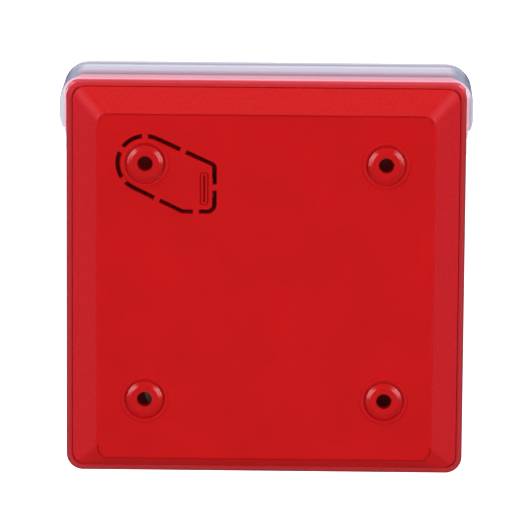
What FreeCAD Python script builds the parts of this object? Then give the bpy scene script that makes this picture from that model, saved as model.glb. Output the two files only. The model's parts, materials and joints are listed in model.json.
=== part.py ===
import FreeCAD, Part
import math
import os

# Fire alarm call point for a wall, battery powered, with a clear flap over its face.
# Millimetres. +Z is up, the wall is towards +Y and the face looks along -Y.
# The origin is the middle of the four screw holes, on the wall's surface.
# Depths are measured forwards from the rear rim of the case.

# Case
body_side = 88.2
body_corner = 3.7
straight_depth = 10.0
case_depth = 46.0
case_draft_deg = 9.8
case_wall = 2.2
face_wall = 2.5
rim_width = 1.25
rim_step = 0.6
rear_edge_break = 0.5
front_edge_break = 1.4
inner_corner = 1.5
front_corner_share = 0.9
rear_plate_thick = 2.0
plate_clearance = 0.2

# Mounting panel
panel_gap = 0.2
panel_corner = 2.9
panel_lip = 0.55
panel_rise = 5.3
panel_wall = 1.8
panel_lift = 0.08
bevel_side = 5.55
bevel_top = 5.1
bevel_bottom = 2.5
flat_corner = 2.6
flat_groove_width = 0.35
flat_groove_depth = 0.3

# Screw bosses of the panel
screw_spacing = 53.0
screw_hole_r = 1.7
boss_stand = 0.6
boss_top_r = 2.9
boss_dome_r = 4.15
boss_dome_steps = 3
boss_rim_steps = 4
boss_groove_depth = 0.35
boss_rim_inner_r = 4.45
boss_rim_outer_r = 5.3
boss_rim_height = 0.28
boss_seat_r = 4.6
boss_seat_thick = 2.7

# Perforated tab that stays on the wall when the panel is torn off
tab_round_r = 6.05
tab_upper_deg = 24.5
tab_lower_deg = 25.9
tab_edge_in = 15.25
tab_base_in = 10.7
tab_slot_width = 1.0
tab_bridge_width = 1.35
bridge_round_deg = (30.0, 89.6, -38.7)
bridge_upper_in = 8.33
bridge_edge_in = 5.3
bridge_base_in = 11.2
bridge_lower_in = 2.6
tab_upper_corner = 1.0
tab_lower_corner = 1.6
pad_in_x = 13.0
pad_in_z = 5.55
pad_half_x = 1.0
pad_half_z = 3.7
pad_corner = 0.7
pad_depth = 0.45
pad_loop_width = 0.35
pad_slot_half = 0.22
pad_loop_sink = 0.15
post_half = 2.0
post_end_height = 1.0

# Hooks that carry the case on the panel
hook_inset = 9.9
hook_heights = (9.0, -22.0)
hook_width = 4.0
hook_stem = 2.0
hook_foot = 5.0
hook_foot_thick = 1.6
hook_play = 0.15
hook_side_play = 0.2
case_travel = 6.0
stop_gap = 0.05

# Clear flap
flap_gap = 0.2
flap_wall = 1.2
flap_straight_over = 8.0
flap_inner_corner = 3.2
flap_outer_corner = 6.0
flap_front_gap = 2.0
flap_front_wall = 1.5
flap_ear_drop = 11.0
flap_ear_deg = 22.0
flap_ear_round = 1.5
flap_ear_end = 3.2
flap_ear_tip = 0.1
flap_bend_round = 12.0
flap_flange = 7.5
flap_short = 7.1
hinge_depth = 0.8
hinge_inset = 1.0
flap_pin_r = 0.5
flap_pin_length = 3.1
flap_pin_short = 0.15
pin_clearance = 0.05
flap_tab_half = 9.0
flap_tab_drop = 3.0

# Press plate and its guide
window_margin = 18.1
window_corner = 4.0
window_flare = 2.0
press_gap = 0.3
press_recess = 1.0
press_face = 2.0
press_skirt = 1.6
press_edge_break = 0.6
press_travel = 4.0
press_end_gap = 1.0
rib_half = 4.0
rib_thick = 1.5
rib_gap = 0.2
guide_wall = 2.5
guide_web = 1.5
leg_in_x = 6.0
leg_in_z = 12.0
leg_half_x = 1.0
leg_half_z = 2.0
leg_hook = 1.0
leg_hook_depth = 1.2
leg_play = 0.3
ear_out = 2.8
ear_z = 18.0
ear_r = 2.9
ear_post_r = 2.5
ear_sink = 3.5
ear_thick = 2.0
return_spring_in = 14.0
return_spring_r = 3.2
return_spring_wire = 0.35
return_spring_turns = 5
coil_steps = 10

# Reset latch
latch_leg_in = 8.0
latch_leg_half_x = 2.5
latch_leg_half_z = 2.0
latch_notch = 1.0
latch_travel = 2.0
latch_half_x = 6.0
latch_thick = 1.6
latch_play = 0.2
latch_above = 6.5
latch_reach = 7.5
latch_tongue_half = 3.0
latch_tongue = 5.0
latch_rail = 1.5
latch_rail_over = 1.2
latch_rail_cap = 0.8
latch_stop_half = 3.0
latch_spring_length = 6.0
latch_spring_r = 1.6
latch_spring_wire = 0.25
latch_spring_turns = 5
reset_hole_r = 1.5

# Circuit board and what stands on it
board_margin_x = 7.1
board_margin_z = 9.1
board_thick = 1.6
board_corner = 2.0
board_post_in_x = 8.0
board_post_in_z = 3.5
board_post_r = 2.6
board_hole_play = 0.2
board_notch_play = 0.4
small_screw_r = 1.0
small_head_r = 2.0
small_head = 1.2
small_screw_length = 6.0
small_cross = 0.2
small_cross_share = 0.6
screw_clearance = 0.05
case_screw_inset = 7.5
case_screw_length = 8.0
case_post_r = 3.2
case_post_length = 21.2
case_post_rib = 1.2
case_head_r = 2.3
guide_screw_length = 5.0
joint_sink = 0.5
cut_over = 1.0

cell_r = 8.5
cell_length = 33.5
cell_nub_r = 3.2
cell_nub = 1.0
cell_edge_break = 0.8
cell_between = 1.2
cell_floor = 2.2
cell_board_gap = 1.2
cell_hook_gap = 6.7
cell_z = 0.0
cradle_z = 10.0
cradle_thick = 1.6
cradle_reach = 10.0
cradle_over = 4.0
contact_half = 4.5
contact_thick = 0.4
contact_foot = 3.0
contact_play = 0.1

switch_half = 3.0
switch_height = 3.5
switch_button_r = 1.6
switch_button = 1.1
alarm_switch_z = 8.0
alarm_switch_half_x = 6.4
alarm_switch_half_z = 2.9
alarm_switch_height = 6.5
alarm_switch_hole_x = 3.2
alarm_switch_hole_r = 1.1
alarm_switch_hole_height = 2.0
alarm_plunger = 0.9
alarm_plunger_half_x = 1.5
alarm_plunger_half_z = 1.0
alarm_switch_play = 0.5
alarm_window_play = 1.0

tamper_tip_r = 2.4
tamper_flange_r = 3.4
tamper_flange = 1.2
tamper_stem_r = 1.3
tamper_travel = 1.2
tamper_spring_r = 2.3
tamper_spring_wire = 0.22
tamper_spring_turns = 6
tamper_edge_break = 0.4
power_in_x = 5.8
power_in_z = 5.0
power_r = 3.5
power_flange_over = 1.0
power_travel = 0.6
power_sink = 0.1
button_clearance = 0.1

pipe_r = 1.6
pipe_collar = 0.8
pipe_collar_length = 1.5
pipe_stand = 0.2
pipe_gap = 0.1
led_half = 1.6
led_height = 1.2
shield_in_x = 15.0
shield_in_z = 13.0
shield_half_x = 9.0
shield_half_z = 7.0
shield_height = 2.6
shield_corner = 0.8
shield_wall = 0.3
aerial_in = 5.0
aerial_length = 24.0
aerial_leg_step = 8.0
aerial_width = 3.0
aerial_thick = 0.4
aerial_height = 6.0

# Places across the face that follow from the sizes above
half = body_side / 2
screw_at = screw_spacing / 2
panel_half = half - rim_width - panel_gap
flat_half_x = panel_half - bevel_side
flat_top_z = panel_half - bevel_top
flat_bottom_z = bevel_bottom - panel_half
tab_edge_x = screw_at - tab_edge_in
tab_base_z = screw_at - tab_base_in
pad_x = screw_at - pad_in_x
pad_z = screw_at - pad_in_z
hook_x = half - hook_inset
case_screw_at = half - case_screw_inset
hinge_z = half - hinge_inset
flap_ear_z = half - flap_ear_drop
flap_bottom_z = flap_short - half
window_half = half - window_margin
press_half = window_half - press_gap
guide_half = window_half + guide_wall
ear_x = guide_half + ear_out
leg_x = window_half - leg_in_x
leg_z = window_half - leg_in_z
return_spring_x = window_half - return_spring_in
latch_leg_z = latch_leg_in - window_half
latch_top_z = latch_leg_z + latch_above
latch_bottom_z = -guide_half - latch_reach
board_half_x = half - board_margin_x
board_half_z = half - board_margin_z
board_post_x = board_half_x - board_post_in_x
board_post_z = board_half_z - board_post_in_z
shield_x = board_half_x - shield_in_x
shield_z = board_half_z - shield_in_z
aerial_x1 = board_post_x - aerial_in
aerial_z = -board_post_z
cell_right_x = cell_hook_gap - hook_x
cell_left_x = cell_right_x + 2 * cell_r + cell_between
power_x = board_post_x - power_in_x
power_z = power_in_z - board_post_z

# Depths of what is stacked from the wall side to the face
rear_y = -(panel_rise + boss_stand)
draft = math.tan(math.radians(case_draft_deg))
plate_rear = rim_step
plate_front = plate_rear + rear_plate_thick
cell_depth = plate_front + cell_floor + cell_r
board_rear = cell_depth + cell_r + cell_board_gap
board_front = board_rear + board_thick
web_rear = board_front + alarm_switch_height + alarm_plunger + alarm_switch_play
guide_web_front = web_rear + guide_web
press_skirt_end = guide_web_front + press_travel + press_end_gap
face_at = case_depth - press_recess
face_inner = case_depth - face_wall
ear_front = face_inner - ear_sink
flap_straight = straight_depth + flap_straight_over
face_inner_half = half - case_wall - (face_inner - straight_depth) * draft
pipe_z = (guide_half + face_inner_half) / 2


def at(depth):
    """Y of a plane that lies so far in front of the case's rear rim."""
    return rear_y - depth


def vec(x, y, z):
    return FreeCAD.Vector(x, y, z)


def block(x0, x1, d0, d1, z0, z1):
    """Box between two depths."""
    low = min(at(d0), at(d1))
    return Part.makeBox(x1 - x0, abs(d1 - d0), z1 - z0, vec(x0, low, z0))


def rod(radius, x, z, d0, d1):
    """Round bar along Y between two depths."""
    low = min(at(d0), at(d1))
    return Part.makeCylinder(radius, abs(d1 - d0), vec(x, low, z), vec(0, 1, 0))


def outline(half_x, half_z, corner, depth, mid_x=0.0, mid_z=0.0):
    """Rectangle with round corners, square to Y."""
    edges = []
    ends = []
    for quarter in range(4):
        side_x = 1 if quarter in (0, 3) else -1
        side_z = 1 if quarter in (0, 1) else -1
        centre_x = mid_x + side_x * (half_x - corner)
        centre_z = mid_z + side_z * (half_z - corner)
        turns = [math.pi / 2 * quarter + math.pi / 4 * step for step in range(3)]
        points = [vec(centre_x + corner * math.cos(turn), at(depth), centre_z + corner * math.sin(turn))
                  for turn in turns]
        if ends:
            edges.append(Part.makeLine(ends[-1], points[0]))
        edges.append(Part.Arc(points[0], points[1], points[2]).toShape())
        ends.extend([points[0], points[2]])
    edges.append(Part.makeLine(ends[-1], ends[0]))
    return Part.Wire(edges)


def square_outline(half_side, depth):
    """Square with sharp corners."""
    y = at(depth)
    ends = [vec(half_side, y, half_side), vec(-half_side, y, half_side), vec(-half_side, y, -half_side),
            vec(half_side, y, -half_side)]
    return Part.makePolygon(ends + ends[:1])


def slab(half_x, half_z, corner, d0, d1, mid_x=0.0, mid_z=0.0):
    """Plate with round corners between two depths."""
    wire = outline(half_x, half_z, corner, d0, mid_x, mid_z)
    return Part.Face(wire).extrude(vec(0, at(d1) - at(d0), 0))


def taper(wire_a, wire_b):
    """Straight-sided body between two outlines."""
    return Part.makeLoft([wire_a, wire_b], True, True)


def coil(radius, wire_r, length, turns):
    """Open compression spring that stands on the XY plane along Z, in straight steps."""
    count = turns * coil_steps
    points = []
    for step in range(count + 1):
        turn = 2 * math.pi * step / coil_steps
        points.append(vec(radius * math.cos(turn), radius * math.sin(turn), length * step / count))
    first = points[1] - points[0]
    ring = [vec(wire_r, 0, 0), vec(0, 0, wire_r), vec(-wire_r, 0, 0), vec(0, 0, -wire_r)]
    section = Part.makePolygon([points[0] + corner for corner in ring + ring[:1]])
    section.rotate(points[0], vec(1, 0, 0), math.degrees(math.atan2(first.z, first.y)))
    section.rotate(points[0], vec(0, 0, 1), math.degrees(math.atan2(-first.x, first.y)))
    return Part.makePolygon(points).makePipeShell([section], True, True, 1)


def coil_y(radius, wire_r, d0, d1, turns, x, z):
    """Compression spring along Y whose wire just fits between two depths."""
    spring = coil(radius, wire_r, abs(d1 - d0) - 2 * wire_r, turns)
    spring.rotate(vec(0, 0, 0), vec(1, 0, 0), -90)
    spring.translate(vec(x, min(at(d0), at(d1)) + wire_r, z))
    return spring


def save(name, shape):
    shape.exportStep(os.path.join("parts", name + ".step"))


def corners(x, z):
    """The four places at plus and minus x and z."""
    return [(side_x * x, side_z * z) for side_x in (1, -1) for side_z in (1, -1)]


def boss_profile(x, z):
    """Outer form of a screw boss: flat top, dome, groove and a round rim, turned about the hole."""
    flat = at(-panel_rise)
    top = flat + boss_stand
    root = at(-panel_rise + panel_wall)
    groove = flat - boss_groove_depth
    points = [vec(x, root, z), vec(x, top, z)]
    for step in range(boss_dome_steps + 1):
        turn = math.pi / 2 * step / boss_dome_steps
        points.append(vec(x + boss_top_r + (boss_dome_r - boss_top_r) * math.sin(turn),
                          groove + (top - groove) * math.cos(turn), z))
    points.append(vec(x + boss_rim_inner_r, groove, z))
    rim_half = (boss_rim_outer_r - boss_rim_inner_r) / 2
    rim_mid = x + boss_rim_inner_r + rim_half
    for step in range(boss_rim_steps + 1):
        turn = math.pi * step / boss_rim_steps
        points.append(vec(rim_mid - rim_half * math.cos(turn), flat + boss_rim_height * math.sin(turn), z))
    points.append(vec(x + boss_rim_outer_r, root, z))
    face = Part.Face(Part.makePolygon(points + points[:1]))
    return face.revolve(vec(x, 0, z), vec(0, 1, 0), 360)


def tab_plate(offset, d0, d1):
    """Plate in the form of the tear-off tab, set out by an offset, between two depths."""
    centre = screw_at
    radius = tab_round_r + offset
    upper_slope = math.tan(math.radians(tab_upper_deg))
    lower_slope = math.tan(math.radians(tab_lower_deg))
    up = math.radians(90 + tab_upper_deg)
    down = math.radians(tab_lower_deg - 90)
    edge_x = tab_edge_x - offset
    base_z = tab_base_z - offset
    y = at(d0)
    upper = vec(centre + radius * math.cos(up), y, centre + radius * math.sin(up))
    lower = vec(centre + radius * math.cos(down), y, centre + radius * math.sin(down))
    far = vec(centre + radius, y, centre)
    shoulder = vec(edge_x, y, upper.z - (upper.x - edge_x) * upper_slope)
    foot = vec(edge_x, y, base_z)
    heel = vec(lower.x - (lower.z - base_z) / lower_slope, y, base_z)
    wire = Part.Wire([
        Part.Arc(lower, far, upper).toShape(),
        Part.makeLine(upper, shoulder),
        Part.makeLine(shoulder, foot),
        Part.makeLine(foot, heel),
        Part.makeLine(heel, lower),
    ])
    plate = Part.Face(wire).extrude(vec(0, at(d1) - y, 0))
    for corner, size in ((shoulder, tab_upper_corner), (foot, tab_lower_corner)):
        edges = [edge for edge in plate.Edges
                 if all(abs(v.X - corner.x) + abs(v.Z - corner.z) < 1e-6 for v in edge.Vertexes)]
        plate = plate.makeFillet(size + offset, edges)
    return plate


def tab_bridges():
    """Middles of the seven bridges that hold the tab, each with the slot's angle there."""
    centre = screw_at
    up = math.radians(90 + tab_upper_deg)
    upper_x = centre + tab_round_r * math.cos(up)
    upper_z = centre + tab_round_r * math.sin(up)
    down = math.radians(tab_lower_deg - 90)
    lower_x = centre + tab_round_r * math.cos(down)
    lower_z = centre + tab_round_r * math.sin(down)
    bridges = []
    for angle in bridge_round_deg:
        turn = math.radians(angle)
        bridges.append((centre + tab_round_r * math.cos(turn), centre + tab_round_r * math.sin(turn),
                        angle + 90))
    bridge_upper_x = centre - bridge_upper_in
    upper_rise = (bridge_upper_x - upper_x) * math.tan(math.radians(tab_upper_deg))
    bridges.append((bridge_upper_x, upper_z + upper_rise, tab_upper_deg))
    bridges.append((tab_edge_x, centre - bridge_edge_in, 90.0))
    bridges.append((centre - bridge_base_in, tab_base_z, 0.0))
    bridge_lower_x = centre - bridge_lower_in
    lower_rise = (bridge_lower_x - lower_x) * math.tan(math.radians(tab_lower_deg))
    bridges.append((bridge_lower_x, lower_z + lower_rise, tab_lower_deg))
    return bridges


def tab_slots():
    """The tab's seven slots: a band round its outline, less seven bridges."""
    rear = -panel_rise - cut_over
    front = -panel_rise + panel_wall + cut_over
    half_slot = tab_slot_width / 2
    band = tab_plate(half_slot, rear, front).cut(tab_plate(-half_slot, rear, front))
    for x, z, angle in tab_bridges():
        bridge = block(-tab_bridge_width / 2, tab_bridge_width / 2, rear, front, -tab_slot_width,
                       tab_slot_width)
        bridge.rotate(vec(0, 0, 0), vec(0, 1, 0), -angle)
        bridge.translate(vec(x, 0, z))
        band = band.cut(bridge)
    return band


def hook(side, z):
    """Hook with its foot turned up, on the inside of the panel."""
    x0 = side * hook_x - hook_width / 2
    x1 = side * hook_x + hook_width / 2
    foot_rear = plate_front + hook_play
    stem = block(x0, x1, -panel_rise + panel_wall / 2, foot_rear + hook_foot_thick, z, z + hook_stem)
    foot = block(x0, x1, foot_rear, foot_rear + hook_foot_thick, z, z + hook_stem + hook_foot)
    return stem.fuse(foot)


def pad_cut():
    """Oblong recess over the tamper plunger, with a raised loop round a thin slot."""
    rear = -panel_rise
    over = rear - cut_over
    recess = slab(pad_half_x, pad_half_z, pad_corner, over, rear + pad_depth, pad_x, pad_z)
    loop_x = pad_half_x - pad_loop_width
    loop_z = pad_half_z - pad_loop_width
    loop = slab(loop_x, loop_z, loop_x * pad_corner, rear + pad_loop_sink, rear + pad_depth, pad_x, pad_z)
    slot_z = loop_z - pad_loop_width
    slot = slab(pad_slot_half, slot_z, pad_slot_half * pad_corner, over, rear + 2 * pad_depth, pad_x, pad_z)
    return recess.cut(loop).fuse(slot)


def mounting_panel():
    """Shallow tray with a bevelled edge that is screwed to the wall."""
    flat_mid = (flat_top_z + flat_bottom_z) / 2
    flat_half_z = (flat_top_z - flat_bottom_z) / 2
    edge = -panel_lip
    lip = slab(panel_half, panel_half, panel_corner, -panel_lift, edge)
    bevel = taper(outline(panel_half, panel_half, panel_corner, edge),
                  outline(flat_half_x, flat_half_z, flat_corner, -panel_rise, 0, flat_mid))
    body = lip.fuse(bevel)
    inner_floor = -panel_rise + panel_wall
    inner = taper(outline(panel_half - panel_wall, panel_half - panel_wall, panel_corner / 2, 0),
                  outline(flat_half_x - panel_wall / 2, flat_half_z - panel_wall / 2, flat_corner / 2,
                          inner_floor, 0, flat_mid))
    body = body.cut(inner)
    over = -panel_rise - cut_over
    groove = slab(flat_half_x, flat_half_z, flat_corner, over, -panel_rise + flat_groove_depth, 0, flat_mid)
    land = slab(flat_half_x - flat_groove_width, flat_half_z - flat_groove_width,
                flat_corner - flat_groove_width, over, -panel_rise + flat_groove_depth, 0, flat_mid)
    body = body.cut(groove.cut(land))
    for x, z in corners(screw_at, screw_at):
        body = body.cut(rod(boss_rim_outer_r, x, z, over, inner_floor))
        seat = rod(boss_seat_r, x, z, -panel_rise + panel_wall / 2,
                   -panel_rise - boss_stand + boss_seat_thick)
        seat = seat.cut(rod(boss_rim_inner_r, x, z, -panel_rise, inner_floor))
        body = body.fuse([boss_profile(x, z), seat])
    for x, z in corners(screw_at, screw_at):
        body = body.cut(rod(screw_hole_r, x, z, over - boss_stand, 0))
    body = body.cut(tab_slots())
    post = block(pad_x - post_half, pad_x + post_half, -panel_rise + panel_wall / 2, -post_end_height,
                 pad_z - post_half, pad_z + post_half)
    body = body.fuse(post).cut(pad_cut())
    hooks = [hook(side, z) for side in (1, -1) for z in hook_heights]
    return body.fuse(hooks).removeSplitter()


def case_outer(grow, straight, depth, corner):
    """Outer form of the case, or of what lies over it by the amount it is grown."""
    wide = half + grow
    front = wide - (depth - straight) * draft
    rear = slab(wide, wide, corner, 0, straight)
    front_part = taper(outline(wide, wide, corner, straight), outline(front, front, corner * front_corner_share, depth))
    return rear.fuse(front_part).removeSplitter()


def case_hollow():
    """Room inside the case."""
    wide = half - case_wall
    front = face_inner_half
    rear = slab(wide, wide, inner_corner, -cut_over, straight_depth)
    front_part = taper(square_outline(wide, straight_depth), square_outline(front, face_inner))
    return rear.fuse(front_part)


def edges_at(shape, depth, reach):
    """Outer edges that lie in a plane at a depth, further out than a reach."""
    found = []
    for edge in shape.Edges:
        box = edge.BoundBox
        flat = abs(box.YMin - at(depth)) < 1e-6 and abs(box.YMax - at(depth)) < 1e-6
        outside = max(abs(box.XMin), abs(box.XMax), abs(box.ZMin), abs(box.ZMax)) > reach
        if flat and outside:
            found.append(edge)
    return found


def pins(clearance):
    """The flap's two hinge pins, or with a clearance the holes for them in the case's upper corners."""
    start = half - flap_pin_short - flap_pin_length - clearance
    return [Part.makeCylinder(flap_pin_r + clearance, flap_pin_length + 2 * clearance,
                              vec(side * start, at(hinge_depth), hinge_z), vec(side, 0, 0))
            for side in (1, -1)]


def front_case():
    """Red housing: deep square shell with a flared window for the press plate."""
    body = case_outer(0, straight_depth, case_depth, body_corner)
    body = body.makeChamfer(rear_edge_break, edges_at(body, 0, half - body_corner))
    front_half = half - (case_depth - straight_depth) * draft
    body = body.makeChamfer(front_edge_break, edges_at(body, case_depth, front_half - body_corner))
    shell = body.cut(case_hollow())
    rim = half - rim_width
    shell = shell.cut(slab(rim, rim, body_corner - rim_width, -cut_over, rim_step))
    post_rear = plate_front + plate_clearance
    post_front = post_rear + case_post_length
    posts = [rod(case_post_r, x, z, post_rear, post_front) for x, z in corners(case_screw_at, case_screw_at)]
    for x, z in corners(case_screw_at, case_screw_at):
        side_x = math.copysign(half, x)
        side_z = math.copysign(half, z)
        rib = case_post_rib / 2
        posts.append(block(min(x, side_x), max(x, side_x), post_rear, post_front, z - rib, z + rib))
        posts.append(block(x - rib, x + rib, post_rear, post_front, min(z, side_z), max(z, side_z)))
    ear_posts = [rod(ear_post_r, x, z, ear_front + stop_gap, face_inner + cut_over)
                 for x, z in corners(ear_x, ear_z)]
    keep = body.common(shell.fuse(posts + ear_posts))
    window_front = window_half + window_flare
    cuts = [taper(outline(window_half, window_half, window_corner, face_inner),
                  outline(window_front, window_front, window_corner + window_flare, case_depth))]
    hole = small_screw_r + screw_clearance
    for x, z in corners(case_screw_at, case_screw_at):
        cuts.append(rod(hole, x, z, 0, plate_front + case_screw_length + cut_over))
    for x, z in corners(ear_x, ear_z):
        cuts.append(rod(hole, x, z, ear_front, face_inner + cut_over))
    cuts.append(rod(pipe_r + pipe_gap, 0, pipe_z, face_inner - cut_over, case_depth + cut_over))
    latch_mid = web_rear - latch_play - latch_thick / 2
    cuts.append(Part.makeCylinder(reset_hole_r, half, vec(0, at(latch_mid), -half), vec(0, 0, 1)))
    return keep.cut(cuts + pins(pin_clearance))


def rear_case():
    """Rear cover inside the rim, with posts for the board and a cradle for the cells."""
    wide = half - case_wall - plate_clearance
    plate = slab(wide, wide, inner_corner - plate_clearance, plate_rear, plate_front)
    root = plate_front - joint_sink
    posts = [rod(board_post_r, x, z, root, board_rear) for x, z in corners(board_post_x, board_post_z)]
    low_x = cell_right_x - cradle_over
    high_x = cell_left_x + cradle_over
    foot = cell_z - cell_length / 2
    cells = [Part.makeCylinder(cell_r + contact_play, cell_length, vec(x, at(cell_depth), foot), vec(0, 0, 1))
             for x in (cell_left_x, cell_right_x)]
    ribs = []
    for z in (cell_z + cradle_z, cell_z - cradle_z):
        rib = block(low_x, high_x, root, cradle_reach, z - cradle_thick / 2, z + cradle_thick / 2)
        ribs.append(rib.cut(cells))
    body = plate.fuse(posts + ribs)
    cuts = []
    for side in (1, -1):
        for z in hook_heights:
            x0 = side * hook_x - hook_width / 2 - hook_side_play
            x1 = side * hook_x + hook_width / 2 + hook_side_play
            cuts.append(block(x0, x1, 0, plate_front + cut_over, z - case_travel - hook_side_play,
                              z + hook_stem + stop_gap))
    hole = small_screw_r + screw_clearance
    for x, z in corners(case_screw_at, case_screw_at):
        cuts.append(rod(hole, x, z, 0, plate_front + cut_over))
        cuts.append(rod(case_head_r + screw_clearance, x, z, 0, plate_rear + small_head))
    for x, z in corners(board_post_x, board_post_z):
        cuts.append(rod(hole, x, z, board_rear - small_screw_length, board_rear))
    cuts.append(rod(tamper_tip_r + button_clearance, pad_x, pad_z, 0, plate_front))
    cuts.append(rod(power_r + button_clearance, power_x, power_z, 0, plate_front))
    return body.cut(cuts)


def screw(x, z, seat_depth, length, head_r, towards):
    """Pan-head screw whose head bears on a seat; towards is +1 when it points forwards."""
    shank = rod(small_screw_r, x, z, seat_depth, seat_depth + towards * length)
    head = rod(head_r, x, z, seat_depth - towards * small_head, seat_depth)
    top = seat_depth - towards * small_head
    slot_half = head_r * small_cross_share
    sink = top + towards * small_head / 2
    cross = block(x - slot_half, x + slot_half, top, sink, z - small_cross, z + small_cross)
    cross = cross.fuse(block(x - small_cross, x + small_cross, top, sink, z - slot_half, z + slot_half))
    return head.fuse(shank).cut(cross)


def screws(places, seat_depth, length, head_r, towards):
    return Part.makeCompound([screw(x, z, seat_depth, length, head_r, towards) for x, z in places])


def ear_cut(flange_depth, low_ear):
    """What is cut away under the flap's ears: a slope that bends down into the front flange."""
    behind = -cut_over
    slope = math.tan(math.radians(flap_ear_deg))
    below = -body_side
    profile = Part.makePolygon([
        vec(-body_side, at(behind), below),
        vec(-body_side, at(behind), flap_ear_z - behind * slope),
        vec(-body_side, at(flange_depth), low_ear),
        vec(-body_side, at(flange_depth), below),
        vec(-body_side, at(behind), below),
    ])
    away = Part.Face(profile).extrude(vec(2 * body_side, 0, 0))
    bend = [edge for edge in away.Edges
            if all(abs(v.Y - at(flange_depth)) < 1e-6 and abs(v.Z - low_ear) < 1e-6 for v in edge.Vertexes)]
    return away.makeFillet(flap_bend_round, bend)


def ear_ends():
    """What rounds the lower ends of the ears in towards the case, along their slope."""
    side_x = half + flap_gap + flap_wall
    inset = flap_wall - flap_ear_tip
    radius = (inset ** 2 + flap_ear_end ** 2) / (2 * inset)
    sweep = math.asin(flap_ear_end / radius)
    slope = math.tan(math.radians(flap_ear_deg))
    y = at(-cut_over)
    top = flap_ear_z + cut_over * slope + flap_ear_end
    start = vec(side_x, y, top)
    middle = vec(side_x - radius + radius * math.cos(sweep / 2), y, top - radius * math.sin(sweep / 2))
    end = vec(side_x - inset, y, top - flap_ear_end)
    below = vec(end.x, y, end.z - cut_over)
    wire = Part.Wire([
        Part.Arc(start, middle, end).toShape(),
        Part.makeLine(end, below),
        Part.makeLine(below, vec(side_x + cut_over, y, below.z)),
        Part.makeLine(vec(side_x + cut_over, y, below.z), vec(side_x + cut_over, y, top)),
        Part.makeLine(vec(side_x + cut_over, y, top), start),
    ])
    one = Part.Face(wire).extrude(vec(0, -flap_straight - cut_over, -(flap_straight + cut_over) * slope))
    return [one, one.mirror(vec(0, 0, 0), vec(1, 0, 0))]


def protective_flap():
    """Clear hood over the case's top, with short side walls and a full front, on two corner pins."""
    front_depth = case_depth + flap_front_gap
    outer_depth = front_depth + flap_front_wall
    outer = case_outer(flap_gap + flap_wall, flap_straight, outer_depth, flap_outer_corner)
    inner = case_outer(flap_gap, flap_straight, front_depth, flap_inner_corner)
    outer_half = half - (outer_depth - straight_depth) * draft
    outer = outer.makeChamfer(front_edge_break, edges_at(outer, outer_depth, outer_half - body_corner))
    inner_half = half + flap_gap
    inner = inner.fuse(slab(inner_half, inner_half, flap_inner_corner, -cut_over, cut_over))
    hood = outer.cut(inner)
    flange_depth = outer_depth - flap_flange
    low_ear = flap_ear_z - flange_depth * math.tan(math.radians(flap_ear_deg))
    hood = hood.cut(ear_cut(flange_depth, low_ear))
    low_rear = [edge for edge in hood.Edges
                if all(abs(v.Y - at(0)) < 1e-6 and abs(v.Z - flap_ear_z) < 1e-6 for v in edge.Vertexes)]
    hood = hood.makeFillet(flap_ear_round, low_rear).cut(ear_ends())
    hood = hood.cut(block(-body_side, body_side, flange_depth, outer_depth, -body_side, flap_bottom_z))
    tab_front = slab(flap_tab_half, flap_tab_drop, flap_tab_drop / 2, front_depth, outer_depth,
                     0, flap_bottom_z)
    return hood.fuse([tab_front] + pins(0)).removeSplitter()


def press_plate():
    """White plate that is pushed in: tray with four snap legs, a switch rib and a latch leg."""
    face = slab(press_half, press_half, window_corner - press_gap, press_skirt_end, face_at)
    inner_half = press_half - press_skirt
    face = face.cut(slab(inner_half, inner_half, window_corner - press_gap - press_skirt,
                         press_skirt_end, face_at - press_face))
    face = face.makeChamfer(press_edge_break, edges_at(face, face_at, press_half - window_corner))
    root = face_at - press_face / 2
    solids = []
    for x, z in corners(leg_x, leg_z):
        side = 1 if x > 0 else -1
        solids.append(block(x - leg_half_x, x + leg_half_x, web_rear - stop_gap - leg_hook_depth, root,
                            z - leg_half_z, z + leg_half_z))
        hook_in = x + side * leg_half_x
        hook_out = hook_in + side * leg_hook
        solids.append(block(min(hook_in, hook_out), max(hook_in, hook_out),
                            web_rear - stop_gap - leg_hook_depth, web_rear - stop_gap,
                            z - leg_half_z, z + leg_half_z))
    rib_end = board_front + alarm_switch_height + alarm_plunger + rib_gap + press_travel
    solids.append(block(-rib_half, rib_half, rib_end, root, alarm_switch_z - rib_thick / 2,
                        alarm_switch_z + rib_thick / 2))
    latch_rear = web_rear - latch_play - latch_thick
    tip = latch_rear - latch_play
    leg = block(-latch_leg_half_x, latch_leg_half_x, tip, root,
                latch_leg_z - latch_leg_half_z, latch_leg_z + latch_leg_half_z)
    notch_rear = latch_rear + press_travel - latch_play
    notch = block(-half, half, notch_rear, notch_rear + latch_thick + 2 * latch_play,
                  latch_leg_z + latch_leg_half_z - latch_notch, latch_leg_z + latch_leg_half_z)
    solids.append(leg.cut(notch))
    return face.fuse(solids)


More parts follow.
